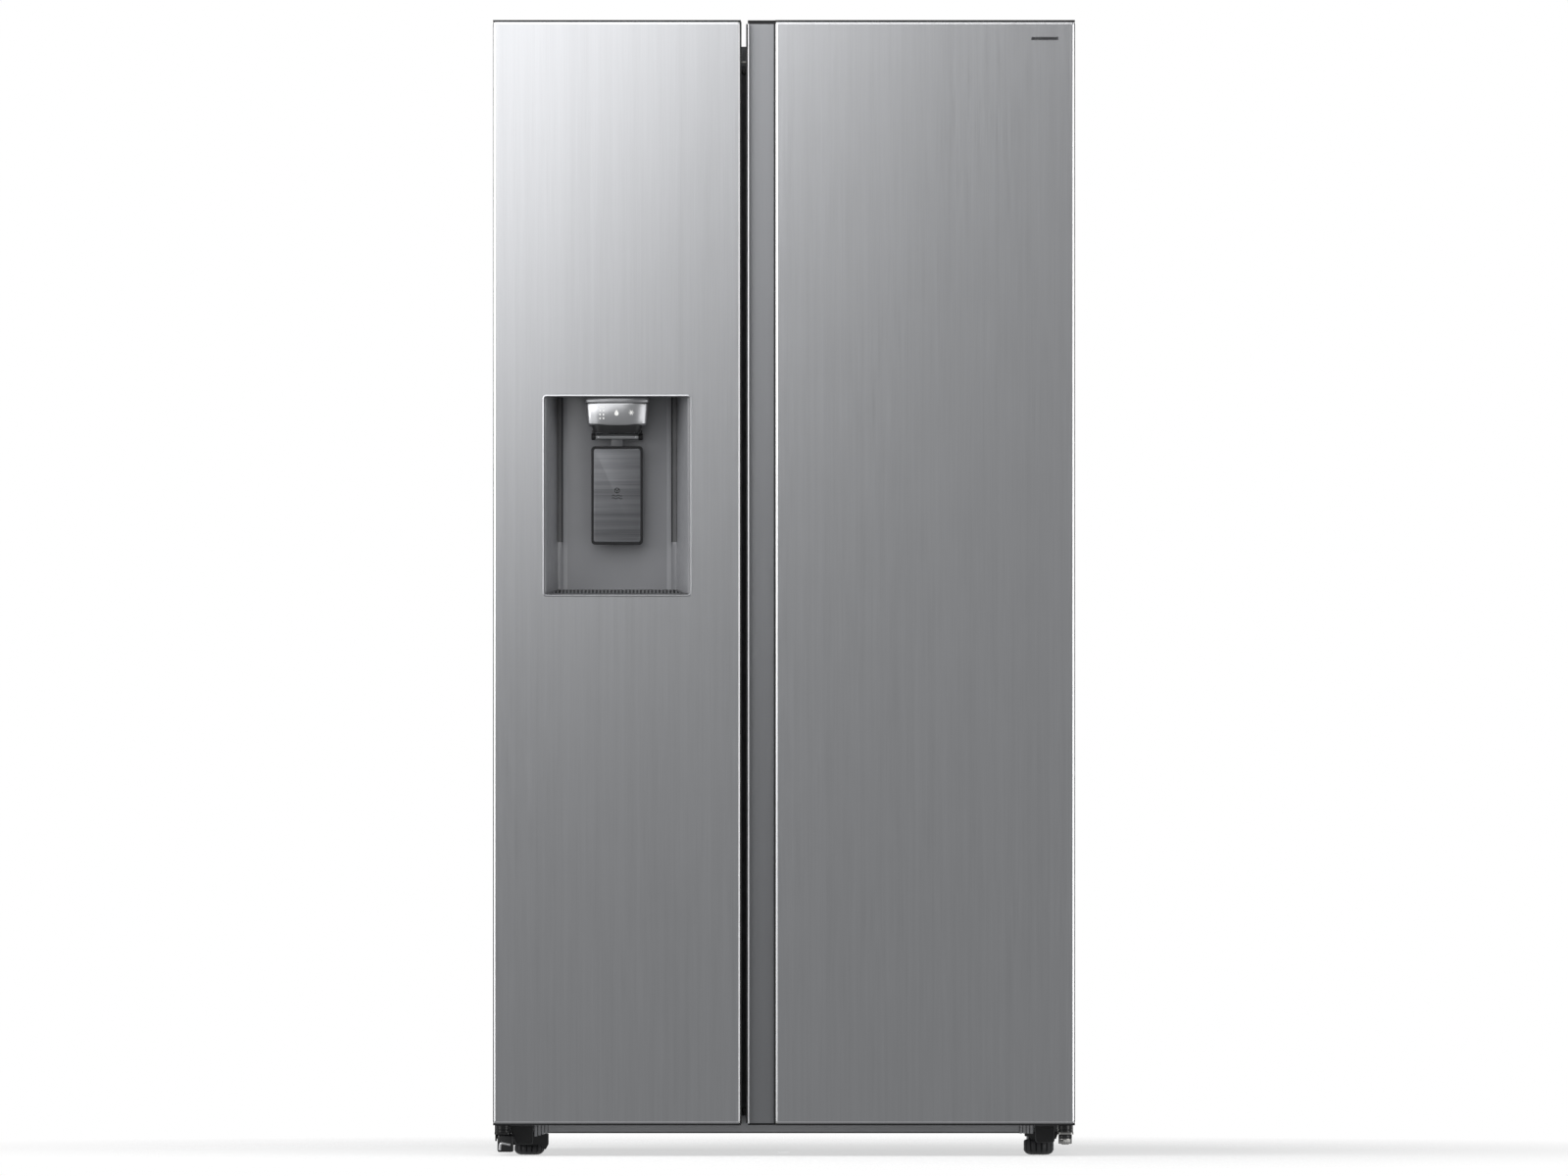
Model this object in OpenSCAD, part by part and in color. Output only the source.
// Side by side refrigerator with an ice and water dispenser in the freezer door.
// +X is to the right seen from the front, +Y is to the back and +Z is up.
// The origin is on the floor, under the middle of the appliance.

/* [Overall] */
// Width over the two doors
overall_w = 912; // [900:1:930]
// Depth from the door fronts to the rear screws
overall_d = 716; // [700:1:740]
// Height from the floor to the top of the doors
overall_h = 1780; // [1770:1:1800]

/* [Cabinet] */
// Width of the steel cabinet
cabinet_w = 908; // [890:1:908]
// Height of the cabinet top
cabinet_top = 1740; // [1735:1:1745]
// Height of the cabinet floor
cabinet_bottom = 34; // [30:1:36]
// Thickness of the wall beside the freezer
freezer_wall = 58; // [50:1:64]
// Thickness of the wall beside the fridge
fridge_wall = 48; // [44:1:56]
// Inside width of the freezer
freezer_w = 302; // [296:1:306]
// Width of the wall between the two compartments
mullion_w = 64; // [60:1:70]

/* [Doors] */
// Thickness of a door without its gasket
door_t = 96; // [94:1:98]
// Gap between a door and the cabinet, filled by the gasket
gasket_gap = 10; // [9:1:11]
// Width of the freezer door
freezer_door_w = 388.4; // [384:0.2:390]
// Gap between the two doors
door_gap = 10.8; // [10:0.2:12]
// Width of the recessed grip strip on the fridge door
grip_w = 43; // [38:1:48]
// Radius of the vertical front edges
edge_r = 4; // [3:0.5:5]
// Height of the door's lower edge
door_bottom = 48; // [46:1:50]

/* [Hinges] */
// Distance of a hinge pin from the middle of the appliance
pin_x = 441; // [438:1:443]
// Distance of a hinge pin behind the door front
pin_depth = 55; // [54:1:57]
// Radius of a hinge pin
pin_r = 6; // [5:0.5:7]

/* [Dispenser] */
// Width of the recess at the door's face
recess_w = 231.8; // [226:0.2:236]
// Width of the recess at its back wall
recess_back_w = 188; // [180:1:194]
// Height of the recess
recess_h = 314.7; // [310:0.1:320]
// Depth of the recess
recess_d = 90; // [88:1:92]
// Height of the recess floor
recess_z = 877.5; // [870:0.5:885]
// Width of the push paddle
paddle_w = 80.6; // [76:0.2:84]

/* [Feet] */
// Radius of a levelling foot
foot_r = 23.5; // [20:0.5:25]
// Height of the left foot's wheel
foot_left_h = 16; // [14:1:20]
// Height of the right foot's wheel
foot_right_h = 24; // [20:1:24]

/* [Hidden] */
$fn = 48;

// Allowance that a cut runs past the face it opens
eps = 1;
// Sheet steel, plastic liner and moulded wall thicknesses
sheet = 1;
liner_t = 2;
wall_t = 2.5;
panel_t = 2;

// Cabinet planes
half_w = overall_w / 2;
door_front = -overall_d / 2;
door_back = door_front + door_t;
case_front = door_back + gasket_gap;
case_back = overall_d / 2;
rear_face = case_back - 1;
case_x = cabinet_w / 2;
lip = 30;
flange_y = case_front + sheet;
foam_front = flange_y + liner_t;
foam_back = rear_face - sheet;
foam_bottom = cabinet_bottom + panel_t;

// Compartments
freezer_x0 = -case_x + freezer_wall;
freezer_x1 = freezer_x0 + freezer_w;
fridge_x0 = freezer_x1 + mullion_w;
fridge_x1 = case_x - fridge_wall;
mullion_x = freezer_x1 + mullion_w / 2;
cavity_z0 = 100;
cavity_z1 = 1680;
cavity_back = 300;
step_y = 122;
step_z = 316;
// Machine compartment at the back of the floor
machine_front = 168;
machine_top = 270;
machine_mid = 262;

// Doors
grip_x0 = -half_w + freezer_door_w + door_gap;
panel_x0 = grip_x0 + grip_w;
cap_t = 3;
door_z0 = door_bottom + cap_t;
door_z1 = overall_h - cap_t;
corner_r = 5;
pin_y = door_front + pin_depth;
// Raised frame of the door liner, which carries the bins
dyke_gap = 10;
dyke_w = 30;
dyke_y = door_back + 40;
dyke_z0 = 110;
dyke_z1 = 1670;
pocket_y = door_back - 38;
bulge_y = door_back + 32;
bulge_z0 = 830;
bulge_z1 = 1345;
bin_front = door_back + 97;
bin_r = 6;
// Finger groove in the freezer door's edge and grip pocket in the fridge door
grip_y = door_front + 26;
groove_y = door_front + 6;
groove_d = 16;
grip_reach = 22;
grip_t = 2;
grip_z0 = door_z0;
grip_z1 = door_z1 - 3;
// Hinge pocket in the top of each door
pocket_w = 100;
pocket_d = 20;
pocket_z = overall_h - 35;
bush_r = 12;
bore_fit = 0.05;

// Dispenser
disp_x = -261.8;
recess_back = door_front + recess_d;
recess_top = recess_z + recess_h;
chute_half = 29;
outlet_half = 27;
outlet_y0 = -338;
outlet_y1 = -312;
head_w = 98;
head_face_z = 1144.6;
nozzle_z = 1133.5;
bar_y = -303;
bar_z = 1127.4;
bar_r = 5.6;
axle_r = 3;
disc_w = 6.5;
paddle_z0 = 958;
paddle_z1 = 1112.3;
tray_gap = 1;
tray_h = 7.5;

// Feet and rollers
foot_x = 400;
foot_y = -222;
stem_r = 5;
stem_top = 44;
roller_r = 20;
roller_y = 300;
roller_w = 24;
roller_axle_r = 4;

// Shelves and drawers
shelf_front = -140;
drawer_front = -135;
ledge_w = 9;
ledge_h = 6;
rail_w = 14;
duct_y = 235;
fridge_duct_y = 268;
lower_drawer_z = 108;
upper_drawer_z = 332;
lower_drawer_back = step_y - 10;
freezer_shelf_z = [1010, 780];
fridge_shelf_z = [1210, 880, 562];
bucket_z = 1338;
wire_r = 3;
cross_wire_r = 1.6;

// Fans
fan_z = 152;
fan_r = 66;
shroud_x = 100;
freezer_fan_x = (freezer_x0 + freezer_x1) / 2;
freezer_fan_z = 960;
freezer_fan_r = 56;
shaft_r = 3;

// Screws
screw_r = 2;
screw_head_r = 5;
screw_hole_r = 2.1;

// ---------------------------------------------------------------- helpers

// Box between two opposite corners
module box(lo, hi) {
    translate(lo) cube(hi - lo);
}

// Points along an arc
function arc(cx, cy, r, a0, a1, n = 5) =
    [for (i = [0:n]) let (a = a0 + (a1 - a0) * i / n) [cx + r * cos(a), cy + r * sin(a)]];

// Rectangle with rounded corners
function round_rect(x0, y0, x1, y1, r) = concat(
    arc(x0 + r, y0 + r, r, 180, 270), arc(x1 - r, y0 + r, r, 270, 360),
    arc(x1 - r, y1 - r, r, 0, 90), arc(x0 + r, y1 - r, r, 90, 180));

// Outline of a door seen from above, rounded at the front, shrunk by inset
function door_outline(x0, x1, inset, back) =
    let (r = edge_r - inset)
    concat([[x0 + inset, back]],
        arc(x0 + inset + r, door_front + inset + r, r, 180, 270),
        arc(x1 - inset - r, door_front + inset + r, r, 270, 360),
        [[x1 - inset, back]]);

// Outline in the XY plane, pulled up from z0 to z1
module tower(points, z0, z1) {
    translate([0, 0, z0]) linear_extrude(z1 - z0) polygon(points);
}

// Outline in the YZ plane, pulled along X from x0 to x1
module side_form(points, x0, x1) {
    translate([x0, 0, 0]) rotate([90, 0, 90]) linear_extrude(x1 - x0) polygon(points);
}

// Outline in the XZ plane, pulled along Y from y0 to y1
module front_form(points, y0, y1) {
    translate([0, y1, 0]) rotate([90, 0, 0]) linear_extrude(y1 - y0) polygon(points);
}

// Rods along the three axes, from one end to the other
module rod_x(x0, x1, y, z, r) {
    translate([x0, y, z]) rotate([0, 90, 0]) cylinder(h = x1 - x0, r = r);
}
module rod_y(y0, y1, x, z, r) {
    translate([x, y0, z]) rotate([-90, 0, 0]) cylinder(h = y1 - y0, r = r);
}
module rod_z(z0, z1, x, y, r) {
    translate([x, y, z0]) cylinder(h = z1 - z0, r = r);
}

// The same shape on both sides of the middle
module both_sides() {
    for (side = [0, 1]) mirror([side, 0, 0]) children();
}

// Space inside a compartment, grown by g, open to the front
module cavity(x0, x1, g, front) {
    side_form([
        [front, cavity_z0 - g], [step_y + g, cavity_z0 - g],
        [step_y + g, step_z - g], [cavity_back + g, step_z - g],
        [cavity_back + g, cavity_z1 + g], [front, cavity_z1 + g]
    ], x0 - g, x1 + g);
}

// ---------------------------------------------------------------- screws

// Places a child, whose screw axis is its own +Z, at each screw of a group
module at_rear_screws() {
    for (x = [-430, 0, 430], z = [300, 1000, 1712])
        translate([x, rear_face, z]) rotate([-90, 0, 0]) children();
}
module at_cover_screws() {
    for (x = [-300, 0, 300], z = [54, 263])
        translate([x, case_back - 2, z]) rotate([-90, 0, 0]) children();
}
module at_rail_screws() {
    for (z = [70, 1700])
        translate([mullion_x, case_front, z]) rotate([90, 0, 0]) children();
}
module at_top_hinge_screws() {
    both_sides()
        for (p = [[400, -205], [440, -205], [420, -145]])
            translate([p[0], p[1], cabinet_top + 4]) children();
}
module at_bottom_hinge_screws() {
    both_sides()
        for (z = [43, 57])
            translate([pin_x, case_front - 3, z]) rotate([90, 0, 0]) children();
}
module screw(head_h) {
    cylinder(h = head_h, r = screw_head_r);
    translate([0, 0, -8]) cylinder(h = 8, r = screw_r);
}
module screw_hole() {
    translate([0, 0, -10]) cylinder(h = 20, r = screw_hole_r);
}

module cabinet_screws() {
    color("silver") {
        at_rear_screws() screw(1);
        at_cover_screws() screw(1.8);
        at_rail_screws() screw(1.5);
        at_top_hinge_screws() screw(2.5);
        at_bottom_hinge_screws() screw(1.5);
    }
}

// ---------------------------------------------------------------- cabinet

// Folded wrapper: two sides and a top, with a lip turned in at the front
module outer_shell() {
    color("gainsboro") difference() {
        box([-case_x, case_front, cabinet_bottom], [case_x, foam_back, cabinet_top]);
        box([-case_x + sheet, flange_y, cabinet_bottom - eps],
            [case_x - sheet, foam_back + eps, cabinet_top - sheet]);
        box([-case_x + lip, case_front - eps, cabinet_bottom - eps],
            [case_x - lip, flange_y + eps, cabinet_top - lip]);
        at_top_hinge_screws() screw_hole();
        at_bottom_hinge_screws() screw_hole();
    }
}

module rear_panel() {
    color("silver") difference() {
        box([-case_x, foam_back, machine_top + panel_t], [case_x, rear_face, cabinet_top]);
        at_rear_screws() screw_hole();
    }
}

// Cheeks and axle that carry one rear roller
module roller_fork() {
    for (x = [foot_x - roller_w / 2 - 3.5, foot_x + roller_w / 2 + 0.5])
        box([x, roller_y - 10, roller_r - 8], [x + 3, roller_y + 10, cabinet_bottom]);
    rod_x(foot_x - roller_w / 2 - 3, foot_x + roller_w / 2 + 3, roller_y, roller_r,
        roller_axle_r);
}

// Floor sheet, folded up in front of the machine compartment and over it
module bottom_panel() {
    x = case_x - sheet;
    rear = case_back - 3.5;
    color("dimgray") difference() {
        union() {
            box([-x, flange_y, cabinet_bottom], [x, rear, foam_bottom]);
            box([-x, machine_front - panel_t, cabinet_bottom],
                [x, machine_front, machine_top + panel_t]);
            box([-x, machine_front - panel_t, machine_top],
                [x, foam_back, machine_top + panel_t]);
            box([-x, rear - panel_t, machine_top - 14], [x, rear, machine_top + 1]);
            box([-x, rear - panel_t, cabinet_bottom], [x, rear, foam_bottom + 26]);
            both_sides()
                box([x - panel_t, machine_front - 1, cabinet_bottom],
                    [x, rear, machine_top + 1]);
            both_sides() roller_fork();
        }
        both_sides() {
            box([foot_x - roller_w / 2 - 0.5, roller_y - 24, cabinet_bottom - eps],
                [foot_x + roller_w / 2 + 0.5, roller_y + 24, foam_bottom + eps]);
            rod_z(cabinet_bottom - eps, foam_bottom + eps, foot_x, foot_y, stem_r + 3);
        }
        for (i = [0:9])
            box([-320 + i * 36, 200, cabinet_bottom - eps],
                [-308 + i * 36, 330, foam_bottom + eps]);
        at_cover_screws() screw_hole();
    }
}

// Foam between the shell and the two liners
module insulation() {
    color("khaki") difference() {
        box([-case_x + sheet, foam_front, foam_bottom],
            [case_x - sheet, foam_back, cabinet_top - sheet]);
        box([-case_x, machine_front - panel_t, 0],
            [case_x, case_back + eps, machine_top + panel_t]);
        cavity(freezer_x0, freezer_x1, liner_t, case_front);
        cavity(fridge_x0, fridge_x1, liner_t, case_front);
        both_sides() rod_z(foam_bottom - eps, stem_top + 8, foot_x, foot_y, stem_r + 3);
        at_rear_screws() screw_hole();
        at_rail_screws() screw_hole();
        at_top_hinge_screws() screw_hole();
        at_bottom_hinge_screws() screw_hole();
    }
}

// Pair of ledges along the side walls of a compartment, with tops at z
module ledges(x0, x1, z, w, h, y1) {
    for (x = [x0 - eps, x1 - w])
        box([x, shelf_front, z - h], [x + w + eps, y1, z]);
}

// Moulded liner with a flange round its mouth, from flange edge fl to fr
module liner(x0, x1, fl, fr) {
    difference() {
        union() {
            difference() {
                union() {
                    cavity(x0, x1, liner_t, flange_y);
                    box([fl, flange_y, foam_bottom], [fr, foam_front, cabinet_top - sheet]);
                }
                cavity(x0, x1, 0, flange_y - eps);
            }
            ledges(x0, x1, lower_drawer_z - 0.5, rail_w, 8, lower_drawer_back);
            ledges(x0, x1, upper_drawer_z - 0.5, rail_w, 8, duct_y - 3);
            children();
        }
        at_rail_screws() screw_hole();
        at_bottom_hinge_screws() screw_hole();
    }
}

module freezer_liner() {
    color("whitesmoke") liner(freezer_x0, freezer_x1, -case_x + sheet, mullion_x) {
        union() {
            for (z = freezer_shelf_z)
                ledges(freezer_x0, freezer_x1, z, ledge_w, ledge_h, duct_y - 3);
            ledges(freezer_x0, freezer_x1, bucket_z, ledge_w + 6, ledge_h, duct_y - 3);
        }
    }
}

module fridge_liner() {
    color("whitesmoke") liner(fridge_x0, fridge_x1, mullion_x, case_x - sheet) {
        for (z = fridge_shelf_z)
            ledges(fridge_x0, fridge_x1, z, ledge_w, ledge_h, fridge_duct_y - 3);
    }
}

// Steel strip between the compartments that the gaskets close on
module centre_rail() {
    color("gray") difference() {
        box([mullion_x - 27, case_front, 44], [mullion_x + 27, flange_y, cabinet_top - lip]);
        at_rail_screws() screw_hole();
    }
}

// Channel across the front of the cabinet, under the doors
module base_rail() {
    color("dimgray") difference() {
        box([-376, case_front - 6, foam_bottom], [376, case_front, 62]);
        box([-377, case_front - 4.5, foam_bottom + 1.5], [377, case_front + eps, 60.5]);
    }
}

// ---------------------------------------------------------------- hinges

module top_hinges() {
    color("silver") both_sides() difference() {
        union() {
            box([382, -236, cabinet_top], [452, -120, cabinet_top + 4]);
            side_form([
                [-236, cabinet_top], [-228, cabinet_top], [-228, cabinet_top + 4],
                [-244, cabinet_top + 12], [pin_y, cabinet_top + 12],
                [pin_y, cabinet_top + 8], [-247, cabinet_top + 8]
            ], pin_x - 12, 452);
            rod_z(cabinet_top + 8, cabinet_top + 12, pin_x, pin_y, 12);
            rod_z(pocket_z - 28, cabinet_top + 12, pin_x, pin_y, pin_r);
        }
        at_top_hinge_screws() screw_hole();
    }
}

// Moulded covers over the upper hinges
module hinge_covers() {
    color("dimgray") both_sides() difference() {
        tower(round_rect(374, -250, case_x, -108, 6), cabinet_top, cabinet_top + 30);
        tower(round_rect(376, -248, case_x - 2, -110, 4), cabinet_top - eps,
            cabinet_top + 28);
        box([pin_x - 14, -252, cabinet_top - eps], [case_x + eps, -240, cabinet_top + 14]);
    }
}

// Lower hinge leaf and pin, drawn for the right side
module bottom_hinge() {
    difference() {
        union() {
            tower([[429, case_front], [454, case_front], [454, pin_y - 8],
                    [pin_x + 6, pin_y - 14], [pin_x - 10, pin_y - 12], [429, pin_y + 10]],
                33, 36);
            box([429, case_front - 3, 33], [454, case_front, 64]);
            rod_z(17, 75, pin_x, pin_y, pin_r);
            rod_z(36, 47.4, pin_x, pin_y, 11);
            rod_z(26, 33, pin_x, pin_y, 11);
        }
        at_bottom_hinge_screws() screw_hole();
    }
}

module bottom_hinges() {
    color("dimgray") {
        bottom_hinge();
        translate([pin_x, pin_y, 18]) rotate([0, 0, 15]) cylinder(h = 7, r = 11, $fn = 6);
        // The left hinge carries the water line down in a moulded housing
        mirror([1, 0, 0]) bottom_hinge();
        tower(round_rect(-453, pin_y - 16, -421, pin_y + 16, 5), 5, 34);
    }
}

// ---------------------------------------------------------------- feet

module leg_bracket(foot_h) {
    front_form([[393, 47], [392, 44], [396, foot_h + 4], [400, foot_h + 1],
            [420, foot_h + 1], [424, foot_h + 4], [427, 44], [426, 47]],
        case_front - 3.5, case_front);
    difference() {
        box([378, case_front, 29], [427, -194, cabinet_bottom]);
        rod_z(28, 35, foot_x, foot_y, stem_r + bore_fit);
    }
}

module leg_brackets() {
    color("black") {
        leg_bracket(foot_right_h);
        mirror([1, 0, 0]) leg_bracket(foot_left_h);
    }
}

// Fluted wheel with a threaded stem, standing on the floor
module foot(x, h) {
    color("black") difference() {
        union() {
            rod_z(2, h, x, foot_y, foot_r);
            rod_z(0, 2, x, foot_y, foot_r - 2);
            rod_z(0, stem_top, x, foot_y, stem_r);
        }
        for (i = [0:23])
            translate([x, foot_y, 2]) rotate([0, 0, i * 15])
                translate([foot_r + 0.6, 0, 0]) cylinder(h = h, r = 1.6, $fn = 16);
    }
}

module foot_left() {
    foot(-foot_x, foot_left_h);
}
module foot_right() {
    foot(foot_x, foot_right_h);
}

module roller(x) {
    color("dimgray") difference() {
        rod_x(x - roller_w / 2, x + roller_w / 2, roller_y, roller_r, roller_r);
        rod_x(x - roller_w, x + roller_w, roller_y, roller_r, roller_axle_r + bore_fit);
        for (i = [0:4])
            translate([x, roller_y, roller_r]) rotate([i * 72, 0, 0])
                rod_x(-roller_w, roller_w, 11.5, 0, 3.5);
    }
}

module rear_roller_left() {
    roller(-foot_x);
}
module rear_roller_right() {
    roller(foot_x);
}

// ---------------------------------------------------------------- machine compartment

// Cover over the back of the machine compartment, with rows of air slots
module machine_cover() {
    y1 = case_back - 2;
    color("dimgray") difference() {
        box([-446, y1 - 1.5, 46], [446, y1, 268]);
        for (row = [0:5], i = [0:17])
            box([-250 + i * 24, y1 - 3, 86 + row * 26], [-234 + i * 24, y1 + eps, 98 + row * 26]);
        box([-440, y1 - 3, 40], [-350, y1 + eps, 160]);
        rod_y(y1 - 5, y1 + 5, 400, 90, 9);
        at_cover_screws() screw_hole();
    }
}

// Hermetic compressor on four rubber mounts, with its suction and discharge pipes
module compressor() {
    x = 236;
    color("black") {
        translate([x, machine_mid, 0]) rotate_extrude()
            polygon(concat([[0, 54]], arc(52, 74, 20, -90, 0), arc(40, 172, 32, 0, 90),
                [[0, 204]]));
        for (dx = [-62, 62], dy = [-58, 58])
            difference() {
                rod_z(foam_bottom, 54, x + dx, machine_mid + dy, 9);
                rod_z(foam_bottom + 8, 55, x + dx, machine_mid + dy, 3);
            }
        difference() {
            tower(round_rect(x - 76, machine_mid - 70, x + 76, machine_mid + 70, 14), 54, 57);
            rod_z(53, 58, x, machine_mid, 45);
        }
        for (z = [110, 150])
            rod_x(x - 100, x - 70, machine_mid - 10, z, 4);
        translate([x + 66, machine_mid - 26, 90]) cube([26, 52, 60]);
    }
}

// Tubes in rows joined by return bends, with flat fins across them
module fin_coil(lo, hi, rows, columns, tube_r, fin_pitch) {
    dz = (hi[2] - lo[2]) / rows;
    dy = (hi[1] - lo[1]) / columns;
    end = dz / 2 + tube_r;
    function row_z(i) = lo[2] + dz * (i + 0.5);
    function column_y(j) = lo[1] + dy * (j + 0.5);
    for (j = [0:columns - 1], i = [0:rows - 1])
        rod_x(lo[0] + end, hi[0] - end, column_y(j), row_z(i), tube_r);
    for (j = [0:columns - 1], i = [0:rows - 2])
        translate([i % 2 == 0 ? hi[0] - end : lo[0] + end, column_y(j), row_z(i) + dz / 2])
            rotate([90, i % 2 == 0 ? 0 : 180, 0]) rotate([0, 0, -90])
                rotate_extrude(angle = 180, $fn = 32) translate([dz / 2, 0])
                    circle(r = tube_r, $fn = 16);
    for (x = [lo[0] + end + 8 : fin_pitch : hi[0] - end - 8])
        box([x, lo[1], lo[2]], [x + 1, hi[1], hi[2]]);
}

module condenser() {
    color("black") fin_coil([-336, 196, 76], [62, 334, 246], 5, 3, 4, 24);
}

// Plate and ring round the condenser fan, with the motor on three arms
module fan_shroud() {
    color("dimgray") {
        difference() {
            union() {
                box([shroud_x, 184, foam_bottom], [shroud_x + 2, 342, 250]);
                rod_x(shroud_x - 26, shroud_x + 2, machine_mid, fan_z, fan_r + 7);
            }
            rod_x(shroud_x - 30, shroud_x + 5, machine_mid, fan_z, fan_r + 4);
        }
        for (a = [90, 210, 330])
            translate([0, machine_mid, fan_z]) rotate([a, 0, 0])
                box([shroud_x - 2, -4, 20], [shroud_x + 2, 4, fan_r + 5]);
        rod_x(shroud_x - 2, shroud_x + 26, machine_mid, fan_z, 24);
        rod_x(shroud_x - 26, shroud_x, machine_mid, fan_z, shaft_r);
    }
}

// Hub with pitched blades, with its axis on +Z and the hub's underside at z = 0
module fan_wheel(r, blades, hub_r, hub_h) {
    difference() {
        union() {
            cylinder(h = hub_h, r = hub_r);
            intersection() {
                for (i = [0:blades - 1])
                    rotate([0, 0, i * 360 / blades]) translate([0, 0, hub_h / 2])
                        rotate([28, 0, 0]) translate([hub_r - 4, -17, -0.8])
                            cube([r, 34, 1.6]);
                translate([0, 0, -10]) cylinder(h = hub_h + 20, r = r);
            }
        }
        translate([0, 0, -12]) cylinder(h = hub_h + 24, r = shaft_r + bore_fit);
    }
}

module condenser_fan() {
    color("black") translate([shroud_x - 19, machine_mid, fan_z]) rotate([0, 90, 0])
        fan_wheel(fan_r, 5, 20, 14);
}

// Shallow pan that collects the defrost water
module drain_pan() {
    color("black") difference() {
        tower(round_rect(-342, 180, 66, 346, 8), 42, 70);
        tower(round_rect(-340, 182, 64, 344, 6), 44, 71);
    }
    color("black") for (x = [-300, 20], y = [200, 322])
        box([x, y, foam_bottom], [x + 10, y + 10, 42]);
}

// Inlet valve with its threaded spigot, facing the back
module water_valve() {
    color("white") {
        rod_y(338, 351, -400, 84, 13);
        rod_y(330, 338, -400, 84, 17);
        box([-424, 296, 60], [-376, 330, 112]);
        rod_z(112, 146, -400, 313, 14);
        box([-424, 322, foam_bottom], [-376, 330, 60]);
        rod_x(-376, -362, 313, 90, 4);
    }
}

// Cable gland in the cover
module power_inlet() {
    y1 = case_back;
    color("black") difference() {
        union() {
            rod_y(y1 - 2, y1, 400, 90, 13);
            rod_y(y1 - 18, y1, 400, 90, 9);
        }
        rod_y(y1 - 20, y1 + eps, 400, 90, 4.5);
    }
}

// Housing of the main control board
module control_box() {
    color("white") {
        difference() {
            tower(round_rect(346, 190, 440, 326, 4), 112, 250);
            box([349, 193, 115], [437, 323, 251]);
        }
        tower(round_rect(344, 188, 442, 328, 5), 250, 253);
        for (x = [352, 424])
            box([x, 200, foam_bottom], [x + 10, 300, 112]);
    }
}

// ---------------------------------------------------------------- freezer compartment

module evaporator() {
    color("silver") fin_coil([freezer_x0 + 26, 250, 540], [freezer_x1 - 26, 294, 860],
        8, 2, 4, 16);
}

// Panel in front of the evaporator, with the fan motor behind it on a spider
module freezer_duct_cover() {
    x0 = freezer_x0 + 1;
    x1 = freezer_x1 - 1;
    color("whitesmoke") {
        difference() {
            union() {
                box([x0, duct_y, step_z + 12], [x1, duct_y + wall_t, cavity_z1 - 10]);
                for (z = [step_z + 12, cavity_z1 - 12])
                    box([x0, duct_y, z], [x1, cavity_back, z + 2]);
            }
            for (i = [-4:4])
                let (half = sqrt(pow(freezer_fan_r, 2) - pow(i * 12, 2)))
                box([freezer_fan_x - half, duct_y - eps, freezer_fan_z + i * 12 - 3],
                    [freezer_fan_x + half, duct_y + wall_t + eps, freezer_fan_z + i * 12 + 3]);
            for (i = [0:7], z = [350, 1580])
                box([x0 + 26 + i * 32, duct_y - eps, z],
                    [x0 + 48 + i * 32, duct_y + wall_t + eps, z + 50]);
        }
        for (a = [30, 150, 270])
            translate([freezer_fan_x, 0, freezer_fan_z]) rotate([0, a, 0]) {
                rod_y(duct_y + wall_t, 290, freezer_fan_r + 12, 0, 3);
                box([10, 286, -4], [freezer_fan_r + 12, 290, 4]);
            }
        rod_y(280, 299, freezer_fan_x, freezer_fan_z, 21);
        rod_y(252, 281, freezer_fan_x, freezer_fan_z, shaft_r);
    }
}

module freezer_fan() {
    color("black") translate([freezer_fan_x, 254, freezer_fan_z]) rotate([-90, 0, 0])
        fan_wheel(freezer_fan_r, 5, 16, 18);
}

// Shelf of coated wires on a rod frame, lying on the ledges at height z
module wire_shelf(z) {
    x0 = freezer_x0 + 1;
    x1 = freezer_x1 - 1;
    y0 = shelf_front - 6;
    y1 = duct_y - 6;
    color("whitesmoke") {
        for (y = [y0 + wire_r, y1 - wire_r, (y0 + y1) / 2])
            rod_x(x0, x1, y, z + wire_r, wire_r);
        for (x = [x0 + wire_r, x1 - wire_r])
            rod_y(y0, y1, x, z + wire_r, wire_r);
        for (x = [x0 + 18 : 14.4 : x1 - 12])
            rod_y(y0 + 2, y1 - 2, x, z + 2 * wire_r, cross_wire_r);
    }
}

module freezer_shelf_1() {
    wire_shelf(freezer_shelf_z[0]);
}
module freezer_shelf_2() {
    wire_shelf(freezer_shelf_z[1]);
}

// Open drawer with a thicker, taller front and a finger lip
module drawer(x0, x1, y1, z, h) {
    color("aliceblue") difference() {
        union() {
            tower(round_rect(x0, drawer_front, x1, y1, 8), z, z + h);
            tower(round_rect(x0, drawer_front, x1, drawer_front + 17, 8), z, z + h + 12);
        }
        tower(round_rect(x0 + wall_t, drawer_front + 8, x1 - wall_t, y1 - wall_t, 6),
            z + wall_t, z + h + 20);
        box([x0 + 40, drawer_front - eps, z + h - 26], [x1 - 40, drawer_front + 4, z + h - 10]);
    }
}

module freezer_drawer_lower() {
    drawer(freezer_x0 + 4, freezer_x1 - 4, lower_drawer_back, lower_drawer_z, 180);
}
module freezer_drawer_upper() {
    drawer(freezer_x0 + 4, freezer_x1 - 4, duct_y - 3, upper_drawer_z, 190);
}
module crisper_lower() {
    drawer(fridge_x0 + 4, fridge_x1 - 4, lower_drawer_back, lower_drawer_z, 180);
}
module crisper_upper() {
    drawer(fridge_x0 + 4, fridge_x1 - 4, duct_y - 3, upper_drawer_z, 190);
}

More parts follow.
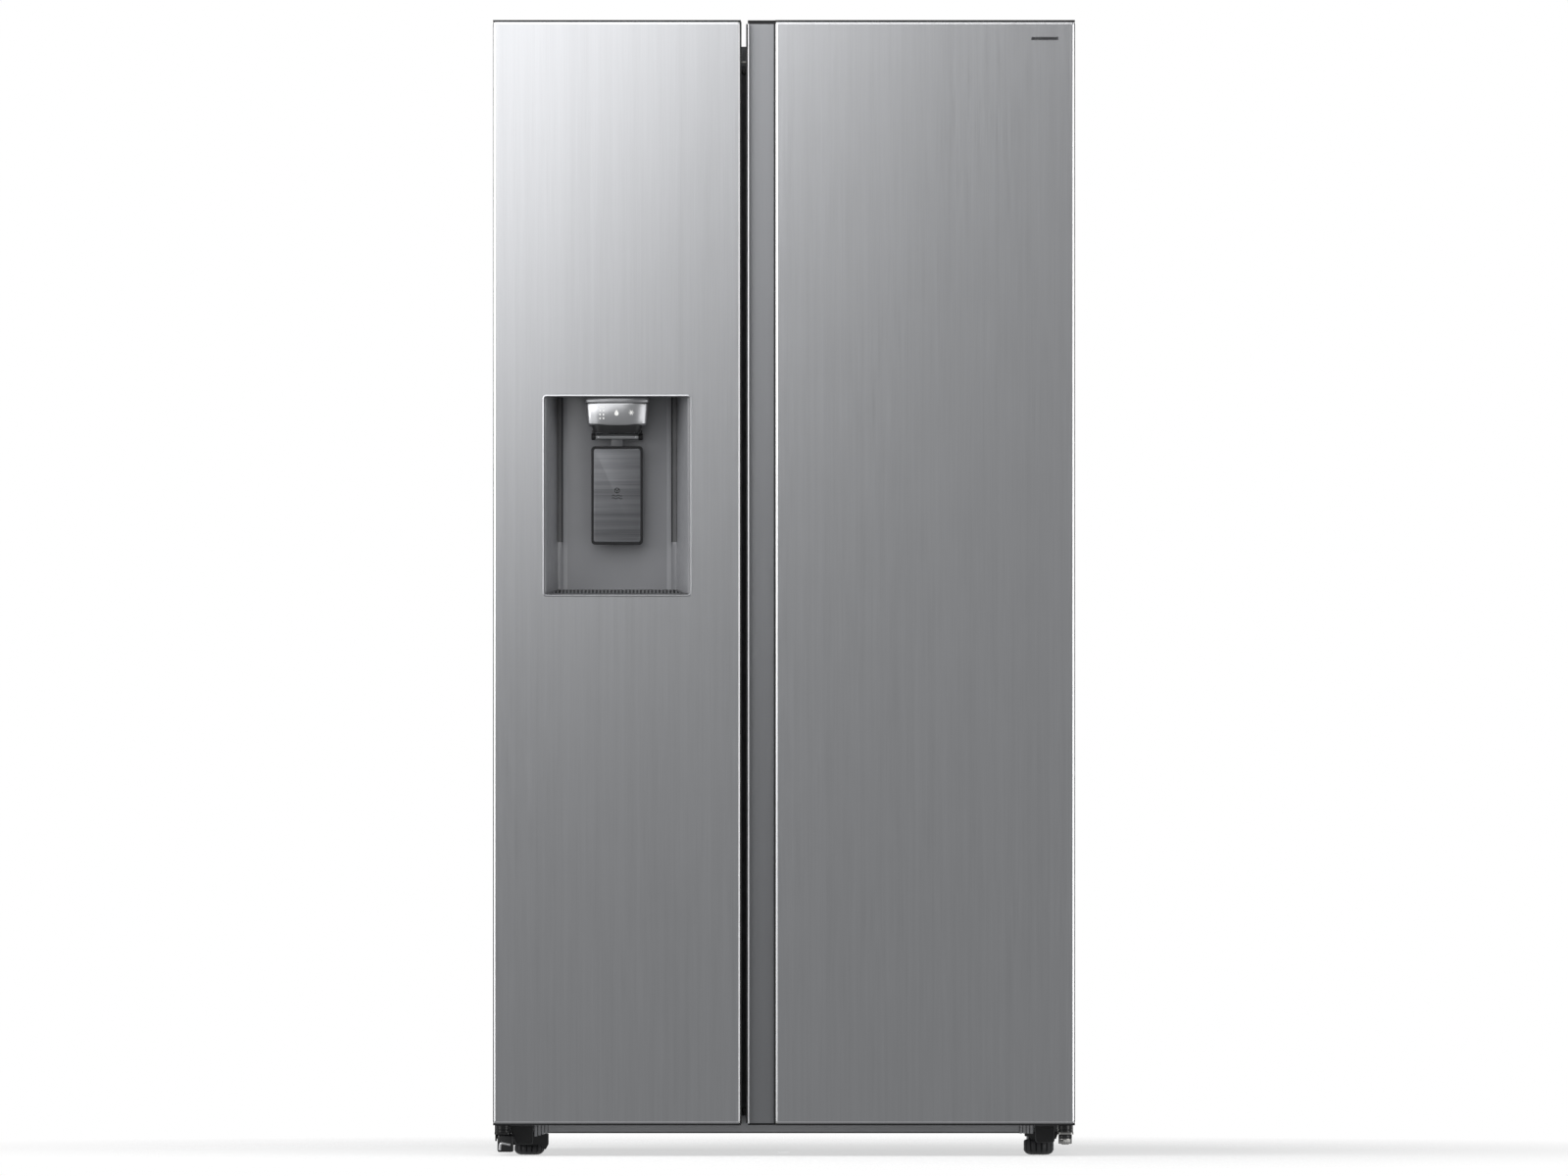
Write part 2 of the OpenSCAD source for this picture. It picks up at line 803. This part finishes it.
// Ice maker: half-round mould, drive housing, ejector shaft and feeler arm
module ice_maker() {
    x = freezer_fan_x;
    color("lightgray") {
        difference() {
            union() {
                rod_y(-70, 150, x, 1600, 46);
                box([x - 60, -70, 1596], [x + 60, 150, 1604]);
            }
            rod_y(-64, 144, x, 1600, 40);
            box([x - 61, -71, 1604], [x + 61, 151, 1660]);
        }
        for (i = [0:6])
            intersection() {
                box([x - 41, -40 + i * 28, 1556], [x + 41, -38 + i * 28, 1600]);
                rod_y(-70, 150, x, 1600, 41);
            }
        tower(round_rect(x - 62, -122, x + 62, -70, 8), 1548, 1650);
        rod_y(-71, 145, x, 1606, 4);
        box([x - 50, 150, 1590], [x + 50, duct_y, 1640]);
    }
}

// Bucket under the ice maker, with a spout that meets the chute in the door
module ice_bucket() {
    z = bucket_z;
    spout_z = 1292;
    color("aliceblue") difference() {
        union() {
            tower(round_rect(freezer_x0 + 8, shelf_front, freezer_x1 - 8, 200, 10), z, z + 180);
            side_form([
                [shelf_front + 4, z + 4], [shelf_front + 4, z + 60], [shelf_front, z + 60],
                [-212, z + 10], [-212, spout_z - 30], [-196, spout_z - 30], [shelf_front - 8, z - 12],
                [shelf_front + 4, z]
            ], disp_x - 34, disp_x + 34);
        }
        tower(round_rect(freezer_x0 + 11, shelf_front + 3, freezer_x1 - 11, 197, 8), z + 3,
            z + 200);
        side_form([
            [shelf_front + 10, z + 4], [shelf_front + 10, z + 56], [shelf_front - 2, z + 56],
            [-208, z + 6], [-220, z + 6], [-220, spout_z - 26], [-198, spout_z - 26],
            [shelf_front - 8, z - 7], [shelf_front + 1, z + 4]
        ], disp_x - 31, disp_x + 31);
    }
}

// ---------------------------------------------------------------- fridge compartment

// Panel with a raised spine that carries the cold air down the back
module fridge_duct_cover() {
    x0 = fridge_x0 + 1;
    x1 = fridge_x1 - 1;
    mid = (x0 + x1) / 2;
    color("whitesmoke") difference() {
        union() {
            box([x0, fridge_duct_y, step_z + 12],
                [x1, fridge_duct_y + wall_t, cavity_z1 - 10]);
            tower([[mid - 60, fridge_duct_y + 1], [mid - 46, fridge_duct_y - 10],
                [mid + 46, fridge_duct_y - 10], [mid + 60, fridge_duct_y + 1]], 640, 1640);
            for (z = [step_z + 12, cavity_z1 - 12])
                box([x0, fridge_duct_y, z], [x1, cavity_back, z + 2]);
        }
        tower([[mid - 57, fridge_duct_y + 5], [mid - 57, fridge_duct_y + 1],
            [mid - 44, fridge_duct_y - 8], [mid + 44, fridge_duct_y - 8],
            [mid + 57, fridge_duct_y + 1], [mid + 57, fridge_duct_y + 5]], 643, 1637);
        for (z = [720, 1020, 1320, 1560], x = [mid - 36, mid + 6])
            box([x, fridge_duct_y - 12, z], [x + 30, fridge_duct_y - 4, z + 10]);
    }
}

// Glass plate in a moulded rim, lying on the ledges at height z
module glass_shelf(z) {
    x0 = fridge_x0 + 1;
    x1 = fridge_x1 - 1;
    y1 = fridge_duct_y - 14;
    color("lightblue") {
        box([x0 + 10, shelf_front + 4, z + 2], [x1 - 10, y1 - 10, z + 6]);
        difference() {
            tower(round_rect(x0, shelf_front - 6, x1, y1, 3), z, z + 8);
            box([x0 + 10, shelf_front + 4, z + 2], [x1 - 10, y1 - 10, z + 9]);
            box([x0 + 16, shelf_front + 10, z - eps], [x1 - 16, y1 - 16, z + 9]);
        }
    }
}

module fridge_shelf_1() {
    glass_shelf(fridge_shelf_z[0]);
}
module fridge_shelf_2() {
    glass_shelf(fridge_shelf_z[1]);
}
module fridge_shelf_3() {
    glass_shelf(fridge_shelf_z[2]);
}

// Lamps under the ceilings and on the walls
module led_lamps() {
    color("white") {
        tower(round_rect(freezer_fan_x - 50, -212, freezer_fan_x + 50, -172, 6), cavity_z1 - 8,
            cavity_z1);
        tower(round_rect(150, -212, 260, -172, 6), cavity_z1 - 8, cavity_z1);
        for (x = [fridge_x0, fridge_x1 - 3])
            box([x, -200, 900], [x + 3, -176, 1100]);
    }
}

// ---------------------------------------------------------------- both doors

// Everything in a door in front of its liner, shrunk from the liner's face by inset.
// x0 and x1 are the slab's edges, c0 and c1 the edges of the compartment behind it.
module door_fill(x0, x1, c0, c1, inset) {
    d0 = c0 + dyke_gap + inset;
    d1 = c1 - dyke_gap - inset;
    p = dyke_w - 2 * inset;
    difference() {
        union() {
            box([x0, door_front - eps, door_z0], [x1, door_back - inset, door_z1]);
            box([d0, door_back - 20, dyke_z0 + inset], [d1, dyke_y - inset, dyke_z1 - inset]);
        }
        box([d0 + p, pocket_y - inset, dyke_z0 + inset + p],
            [d1 - p, dyke_y + eps, dyke_z1 - inset - p]);
    }
}

// Hinge pocket in the top rear corner of a door, grown by g
module hinge_pocket(side, g) {
    mirror([side < 0 ? 1 : 0, 0, 0])
        box([half_w - pocket_w - g, door_front + pocket_d - g, pocket_z - g],
            [half_w + eps, door_back + eps, overall_h + eps]);
}

// Bosses of the two hinge bushings, or their bores
module bush_bosses(side) {
    rod_z(door_z0 - eps, door_z0 + 31, side * pin_x, pin_y, bush_r);
    rod_z(pocket_z - 35, pocket_z - 1, side * pin_x, pin_y, bush_r);
}
module bush_bores(side) {
    rod_z(door_bottom - eps, door_z0 + 27, side * pin_x, pin_y, pin_r + bore_fit);
    rod_z(pocket_z - 31, pocket_z + eps, side * pin_x, pin_y, pin_r + bore_fit);
}

// Moulded end caps, with the hinge pocket and the bushings for the pins
module door_caps(x0, x1, side) {
    color("black") difference() {
        union() {
            for (z = [door_bottom, door_z1])
                tower(door_outline(x0, x1, 0, door_back), z, z + cap_t);
            intersection() {
                tower(door_outline(x0, x1, sheet, door_back), pocket_z - wall_t, door_z1);
                hinge_pocket(side, wall_t);
            }
            bush_bosses(side);
            children();
        }
        hinge_pocket(side, 0);
        bush_bores(side);
    }
}

// Magnetic gasket between two edges, with a fold along its middle
module gasket(x0, x1) {
    w = 18;
    z0 = 74;
    z1 = 1710;
    y0 = door_back;
    y1 = case_front - 0.4;
    color("dimgray") difference() {
        box([x0, y0, z0], [x1, y1, z1]);
        box([x0 + w, y0 - eps, z0 + w], [x1 - w, y1 + eps, z1 - w]);
        difference() {
            box([x0 - eps, y0 + 3.6, z0 - eps], [x1 + eps, y0 + 5.6, z1 + eps]);
            box([x0 + 3, y0, z0 + 3], [x1 - 3, y1, z1 - 3]);
        }
    }
}

// Open bin hung on the door liner: low back, high rounded front
module door_bin(x0, x1, z, h) {
    difference() {
        tower(round_rect(x0, pocket_y, x1, bin_front, bin_r), z, z + h);
        tower(round_rect(x0 + wall_t, pocket_y + wall_t, x1 - wall_t, bin_front - wall_t,
            bin_r - wall_t), z + wall_t, z + h + eps);
        side_form([[pocket_y - eps, z + h / 2], [pocket_y + 30, z + h / 2],
            [bin_front - 40, z + h + eps], [pocket_y - eps, z + h + eps]],
            x0 - eps, x1 + eps);
    }
}

module door_bins(c0, c1, heights, h) {
    edge = dyke_gap + dyke_w + 1;
    color("aliceblue")
        for (z = heights) door_bin(c0 + edge, c1 - edge, z, h);
}

// ---------------------------------------------------------------- freezer door

freezer_edge = -half_w + freezer_door_w;

// Space of the dispenser recess, with its walls moved in by inset
module recess_form(inset, over) {
    front = recess_w / 2 - inset;
    back = recess_back_w / 2 - inset;
    intersection() {
        tower([
            [disp_x - front, door_front - over], [disp_x - front, door_front],
            [disp_x - back, recess_back - inset], [disp_x + back, recess_back - inset],
            [disp_x + front, door_front], [disp_x + front, door_front - over]
        ], recess_z + inset, recess_top - inset);
        front_form(round_rect(disp_x - front, recess_z + inset, disp_x + front,
            recess_top - inset, corner_r - inset), door_front - over, recess_back);
    }
}

// Finger groove along the free edge of the freezer door, grown by g
module edge_groove(g) {
    box([freezer_edge - groove_d - g, groove_y + 2 - g, door_bottom - eps],
        [freezer_edge + eps, grip_y + g, overall_h + eps]);
}

// Outside of the ice chute
module chute_body() {
    side_form([
        [-228, 1265.5], [-228, 1324.5], [-320, 1302.5], [-340.5, 1263],
        [-340.5, recess_top], [-309.5, recess_top], [-309.5, 1239], [-295.4, 1249.5]
    ], disp_x - chute_half - wall_t, disp_x + chute_half + wall_t);
}

module freezer_door_panel() {
    color("silver") difference() {
        intersection() {
            tower(door_outline(-half_w, freezer_edge, 0, door_back), door_z0, door_z1);
            front_form(round_rect(-half_w, door_z0, freezer_edge, door_z1, corner_r),
                door_front - eps, door_back + eps);
        }
        edge_groove(0);
        difference() {
            tower(door_outline(-half_w, freezer_edge, sheet, door_back + eps),
                door_z0 - eps, door_z1 + eps);
            edge_groove(sheet);
        }
        recess_form(0, eps);
        hinge_pocket(-1, 0);
    }
}

module freezer_door_core() {
    color("khaki") difference() {
        intersection() {
            tower(door_outline(-half_w, freezer_edge, sheet, dyke_y), door_z0, door_z1);
            union() {
                door_fill(-half_w, freezer_edge, freezer_x0, freezer_x1, liner_t);
                box([freezer_x0 + dyke_gap + 20, pocket_y - 10, bulge_z0 + liner_t],
                    [freezer_x1 - dyke_gap - 20, bulge_y - liner_t, bulge_z1 - liner_t]);
            }
        }
        recess_form(0, eps);
        chute_body();
        edge_groove(sheet);
        hinge_pocket(-1, wall_t);
        bush_bosses(-1);
    }
}

module freezer_door_liner() {
    x0 = -half_w + sheet;
    x1 = freezer_edge - sheet;
    color("whitesmoke") difference() {
        union() {
            door_fill(x0, x1, freezer_x0, freezer_x1, 0);
            box([freezer_x0 + dyke_gap + 20, pocket_y - 10, bulge_z0],
                [freezer_x1 - dyke_gap - 20, bulge_y, bulge_z1]);
        }
        door_fill(x0 - eps, x1 + eps, freezer_x0, freezer_x1, liner_t);
        box([freezer_x0 + dyke_gap + 15, pocket_y - 20, bulge_z0 + liner_t],
            [freezer_x1 - dyke_gap - 15, bulge_y - liner_t, bulge_z1 - liner_t]);
        chute_body();
        hinge_pocket(-1, wall_t);
    }
}

module freezer_door_gasket() {
    gasket(-case_x + 28, mullion_x - 10);
}

module freezer_door_caps() {
    difference() {
        door_caps(-half_w, freezer_edge, -1);
        edge_groove(0);
    }
}

module freezer_door_bins() {
    door_bins(freezer_x0, freezer_x1, [165, 385, 605, 1400, 1530], 95);
}

// Moulded walls of the dispenser recess
module dispenser_housing() {
    color("slategray") difference() {
        recess_form(0, 0);
        recess_form(wall_t, eps);
        box([disp_x - chute_half, outlet_y0, recess_top - wall_t - eps],
            [disp_x + chute_half, outlet_y1, recess_top + eps]);
    }
}

// Bowed outline of the control head, grown by g
function head_outline(g) =
    let (bow = 12, half = head_w / 2 + g, r = (half * half + bow * bow) / (2 * bow),
        a = asin(half / r), front = door_front + 6 - g)
    concat(arc(disp_x, front + r, r, 270 - a, 270 + a, 10),
        [[disp_x + half, recess_back - wall_t], [disp_x - half, recess_back - wall_t]]);

// Control head: cap, face, nozzle and the two discs that hold the paddle's axle
module dispenser_head() {
    ceiling = recess_top - wall_t;
    half = paddle_w / 2;
    color("silver") difference() {
        union() {
            tower(head_outline(1.2), ceiling - 10.5, ceiling);
            tower(head_outline(0), head_face_z, ceiling - 10);
            tower(round_rect(disp_x - half, -347, disp_x + half, -290, 6), nozzle_z,
                head_face_z + 1);
            for (x = [disp_x - half, disp_x + half - disc_w]) {
                rod_x(x, x + disc_w, bar_y, bar_z, bar_r);
                box([x, bar_y - 3, bar_z], [x + disc_w, bar_y + 3, nozzle_z + 1]);
            }
            rod_x(disp_x - half + 1, disp_x + half - 1, bar_y, bar_z, axle_r);
        }
        box([disp_x - outlet_half, outlet_y0, nozzle_z - eps],
            [disp_x + outlet_half, outlet_y1, ceiling + eps]);
    }
}

// Duct that leads the ice from the inside of the door down to the nozzle
module ice_chute() {
    color("whitesmoke") difference() {
        chute_body();
        side_form([
            [-227, 1268], [-227, 1322], [-318.6, 1300], [-338, 1262],
            [-338, recess_top - eps], [-312, recess_top - eps], [-312, 1240], [-296, 1252]
        ], disp_x - chute_half, disp_x + chute_half);
    }
}

// Slotted tray that fills the floor of the recess
module drip_tray() {
    z0 = recess_z + wall_t + 0.5;
    y0 = door_front + 1.5;
    y1 = recess_back - wall_t - 2;
    run = recess_d - wall_t;
    function half_at(y) = recess_w / 2 - wall_t - tray_gap
        - (y - door_front) / run * (recess_w - recess_back_w) / 2;
    color("dimgray") difference() {
        tower([[disp_x - half_at(y0), y0], [disp_x + half_at(y0), y0],
            [disp_x + half_at(y1), y1], [disp_x - half_at(y1), y1]], z0, z0 + tray_h);
        for (i = [-11:11])
            box([disp_x + i * 6 - 2, y0 + 8, z0 + 2.5], [disp_x + i * 6 + 2, y1 - 6, z0 + 20]);
    }
}

// Push plate hung on the axle under the nozzle
module dispenser_paddle() {
    half = paddle_w / 2;
    color("silver") difference() {
        union() {
            front_form(round_rect(disp_x - half, paddle_z0, disp_x + half, paddle_z1, 5),
                bar_y - 2.5, bar_y + 1.5);
            box([disp_x - 24, bar_y - 2.2, paddle_z1 - 2], [disp_x + 24, bar_y + 1.5, bar_z - 3.6]);
            rod_x(disp_x - half + disc_w + 0.3, disp_x + half - disc_w - 0.3, bar_y, bar_z,
                bar_r - 0.4);
        }
        rod_x(disp_x - half, disp_x + half, bar_y, bar_z, axle_r + bore_fit);
    }
}

// ---------------------------------------------------------------- fridge door

grip_x1 = panel_x0 + grip_reach;

module fridge_door_panel() {
    color("silver") difference() {
        intersection() {
            tower(door_outline(panel_x0, half_w, 0, door_back), door_z0, door_z1);
            front_form(round_rect(panel_x0, door_z0, half_w, door_z1, corner_r),
                door_front - eps, door_back + eps);
        }
        tower(door_outline(panel_x0, half_w, sheet, door_back + eps), door_z0 - eps,
            door_z1 + eps);
        box([panel_x0 - eps, groove_y + 2, door_z0 - eps],
            [panel_x0 + 10, door_back + eps, door_z1 + eps]);
        hinge_pocket(1, 0);
    }
}

module fridge_door_core() {
    x0 = grip_x0 + grip_t;
    color("khaki") intersection() {
        door_fill(x0, half_w, fridge_x0, fridge_x1, liner_t);
        difference() {
            union() {
                tower(door_outline(panel_x0, half_w, sheet, dyke_y), door_z0, door_z1);
                box([x0, grip_y + grip_t, door_z0], [grip_x1 + eps, dyke_y, grip_z1]);
            }
            box([x0 - eps, groove_y, door_z0 - eps],
                [grip_x1, grip_y + grip_t, door_z1 + eps]);
            box([x0 - eps, grip_y, grip_z1], [panel_x0 + sheet, dyke_y, door_z1 + eps]);
            hinge_pocket(1, wall_t);
            bush_bosses(1);
        }
    }
}

module fridge_door_liner() {
    x0 = grip_x0 + grip_t;
    x1 = half_w - sheet;
    color("whitesmoke") difference() {
        door_fill(x0, x1, fridge_x0, fridge_x1, 0);
        door_fill(x0 - eps, x1 + eps, fridge_x0, fridge_x1, liner_t);
        box([x0 - eps, door_front, grip_z1], [panel_x0 + sheet, door_back + eps, door_z1 + eps]);
        hinge_pocket(1, wall_t);
    }
}

module fridge_door_gasket() {
    gasket(mullion_x + 10, case_x - 28);
}

module fridge_door_caps() {
    door_caps(panel_x0, half_w, 1) {
        union() {
            box([grip_x0, grip_y, door_bottom], [panel_x0 + 6, door_back, door_z0]);
            box([grip_x0, grip_y, grip_z1], [panel_x0 + sheet, door_back, overall_h]);
            box([panel_x0, grip_y, door_z1], [panel_x0 + 6, door_back, overall_h]);
        }
    }
}

module fridge_door_bins() {
    door_bins(fridge_x0, fridge_x1, [165, 455, 745, 1035, 1325], 110);
}

// Moulded grip: a strip set back from the door's face, with a pocket behind its edge
module fridge_door_grip() {
    y0 = groove_y;
    y1 = grip_y;
    color("gray") tower([
        [panel_x0 + sheet, y0], [grip_x1, y0], [grip_x1, y1 + grip_t],
        [grip_x0 + grip_t, y1 + grip_t], [grip_x0 + grip_t, door_back], [grip_x0, door_back],
        [grip_x0, y1 - 3], [grip_x0 + 2.5, y1 - 3], [grip_x0 + 2.5, y1],
        [grip_x1 - grip_t, y1], [grip_x1 - grip_t, y0 + grip_t], [panel_x0 + sheet, y0 + grip_t]
    ], grip_z0, grip_z1);
}

outer_shell();
rear_panel();
bottom_panel();
insulation();
freezer_liner();
fridge_liner();
centre_rail();
base_rail();
machine_cover();
compressor();
condenser();
fan_shroud();
drain_pan();
water_valve();
power_inlet();
control_box();
evaporator();
freezer_duct_cover();
fridge_duct_cover();
top_hinges();
hinge_covers();
bottom_hinges();
leg_brackets();
freezer_shelf_1();
freezer_shelf_2();
fridge_shelf_1();
fridge_shelf_2();
fridge_shelf_3();
ice_maker();
ice_bucket();
led_lamps();
cabinet_screws();
foot_left();
foot_right();
rear_roller_left();
rear_roller_right();
condenser_fan();
freezer_fan();
freezer_drawer_upper();
freezer_drawer_lower();
crisper_upper();
crisper_lower();
freezer_door_panel();
freezer_door_core();
freezer_door_liner();
freezer_door_gasket();
freezer_door_caps();
freezer_door_bins();
dispenser_housing();
dispenser_head();
ice_chute();
drip_tray();
dispenser_paddle();
fridge_door_panel();
fridge_door_core();
fridge_door_liner();
fridge_door_gasket();
fridge_door_caps();
fridge_door_bins();
fridge_door_grip();
